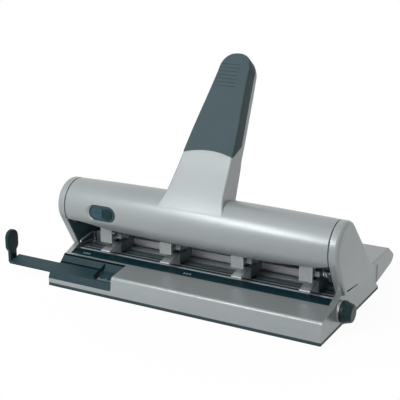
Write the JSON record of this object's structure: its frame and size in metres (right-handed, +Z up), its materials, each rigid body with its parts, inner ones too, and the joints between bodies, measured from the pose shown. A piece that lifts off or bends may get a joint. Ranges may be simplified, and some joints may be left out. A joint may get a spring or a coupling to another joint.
{
  "type": "adjustable hole punch",
  "caption": "Desk hole punch with sliding punch units under a long lever hood, a leaning handle, a side paper guide and a scale knob.",
  "frame": {"origin": "on the face that rests on the table, under the middle of the base along the lever shaft, 86 mm behind the front face", "axes": "+X right along the lever shaft, +Y to the back, +Z up"},
  "size_m": [0.4229, 0.2285, 0.2639],
  "materials": {
    "silver_paint": "silver metallic lacquer, satin",
    "tray_plastic": "moulded, fine grain",
    "petrol_plastic": "moulded, fine grain",
    "grip_rubber": "soft touch",
    "dark_plastic": "moulded",
    "drum_plastic": "moulded",
    "steel": "bright zinc plated",
    "spring_steel": "drawn wire",
    "bronze": "sintered",
    "sheet_steel": "zinc plated sheet",
    "ribbed_grey": "moulded with fine upright ribs",
    "tool_steel": "ground and hardened"
  },
  "bodies": {
    "base": {"base_shell": "silver_paint", "bottom_tray": "tray_plastic", "left_cheek": "silver_paint", "right_cheek": "silver_paint", "rear_cover": "silver_paint", "rear_deck": "silver_paint", "paper_table": "steel", "scale_strip": "dark_plastic", "knob_collar": "silver_paint", "rear_rail": "steel", "guide_rod": "steel", "guide_holder": "petrol_plastic", "shaft_bushes": "bronze", "cheek_screws": "steel", "table_screws": "steel", "return_spring": "spring_steel"},
    "lever": {"hood_shell": "silver_paint", "hood_plate_left": "steel", "hood_plate_right": "steel", "lever_shaft": "steel", "cam_bar": "steel", "handle_arm": "steel", "handle_shell": "silver_paint", "handle_grip": "grip_rubber", "lock_bezel": "petrol_plastic"},
    "lock": {"lock_button": "dark_plastic"},
    "side_guide": {"guide_bar": "petrol_plastic", "guide_stop": "dark_plastic"},
    "scale_knob": {"knob": "dark_plastic", "knob_shaft": "steel", "scale_drum": "drum_plastic"},
    "unit_1": {"unit_1_carriage": "sheet_steel", "unit_1_cap": "ribbed_grey", "unit_1_die": "tool_steel", "unit_1_spring": "spring_steel"},
    "plunger_1": {"unit_1_plunger": "tool_steel"},
    "unit_2": {"unit_2_carriage": "sheet_steel", "unit_2_cap": "ribbed_grey", "unit_2_die": "tool_steel", "unit_2_spring": "spring_steel"},
    "plunger_2": {"unit_2_plunger": "tool_steel"},
    "unit_3": {"unit_3_carriage": "sheet_steel", "unit_3_cap": "ribbed_grey", "unit_3_die": "tool_steel", "unit_3_spring": "spring_steel"},
    "plunger_3": {"unit_3_plunger": "tool_steel"},
    "unit_4": {"unit_4_carriage": "sheet_steel", "unit_4_cap": "ribbed_grey", "unit_4_die": "tool_steel", "unit_4_spring": "spring_steel"},
    "plunger_4": {"unit_4_plunger": "tool_steel"}
  },
  "joints": [
    {"name": "lever_swing", "type": "hinge", "parent": "base", "child": "lever", "pos_m": [0, -0.031, 0.0887], "axis": [-1, 0, 0], "range_deg": [0, 42], "stiffness_Nm_per_rad": 1.2, "springref_deg": -51.57},
    {"name": "lock_slide", "type": "slide", "parent": "lever", "child": "lock", "axis": [-1, 0, 0], "range_m": [0, 0.0108]},
    {"name": "guide_slide", "type": "slide", "parent": "base", "child": "side_guide", "axis": [1, 0, 0], "range_m": [-0.018, 0.058]},
    {"name": "knob_turn", "type": "hinge", "parent": "base", "child": "scale_knob", "pos_m": [0, -0.03815, 0.021], "axis": [1, 0, 0], "continuous": true},
    {"name": "unit_1_slide", "type": "slide", "parent": "base", "child": "unit_1", "axis": [1, 0, 0], "range_m": [-0.028, 0.028]},
    {"name": "punch_1", "type": "slide", "parent": "unit_1", "child": "plunger_1", "axis": [0, 0, -1], "range_m": [0, 0.0081], "stiffness_N_per_m": 400, "springref_m": -0.004, "deforming": ["unit_1_spring"]},
    {"name": "unit_2_slide", "type": "slide", "parent": "base", "child": "unit_2", "axis": [1, 0, 0], "range_m": [-0.028, 0.028]},
    {"name": "punch_2", "type": "slide", "parent": "unit_2", "child": "plunger_2", "axis": [0, 0, -1], "range_m": [0, 0.0081], "stiffness_N_per_m": 400, "springref_m": -0.004, "deforming": ["unit_2_spring"]},
    {"name": "unit_3_slide", "type": "slide", "parent": "base", "child": "unit_3", "axis": [1, 0, 0], "range_m": [-0.028, 0.028]},
    {"name": "punch_3", "type": "slide", "parent": "unit_3", "child": "plunger_3", "axis": [0, 0, -1], "range_m": [0, 0.0081], "stiffness_N_per_m": 400, "springref_m": -0.004, "deforming": ["unit_3_spring"]},
    {"name": "unit_4_slide", "type": "slide", "parent": "base", "child": "unit_4", "axis": [1, 0, 0], "range_m": [-0.028, 0.006]},
    {"name": "punch_4", "type": "slide", "parent": "unit_4", "child": "plunger_4", "axis": [0, 0, -1], "range_m": [0, 0.0081], "stiffness_N_per_m": 400, "springref_m": -0.004, "deforming": ["unit_4_spring"]}
  ],
  "couplings": [
    {"joint": "punch_1", "follows": "lever_swing", "m_per_rad": 0.011},
    {"joint": "punch_2", "follows": "lever_swing", "m_per_rad": 0.011},
    {"joint": "punch_3", "follows": "lever_swing", "m_per_rad": 0.011},
    {"joint": "punch_4", "follows": "lever_swing", "m_per_rad": 0.011}
  ]
}
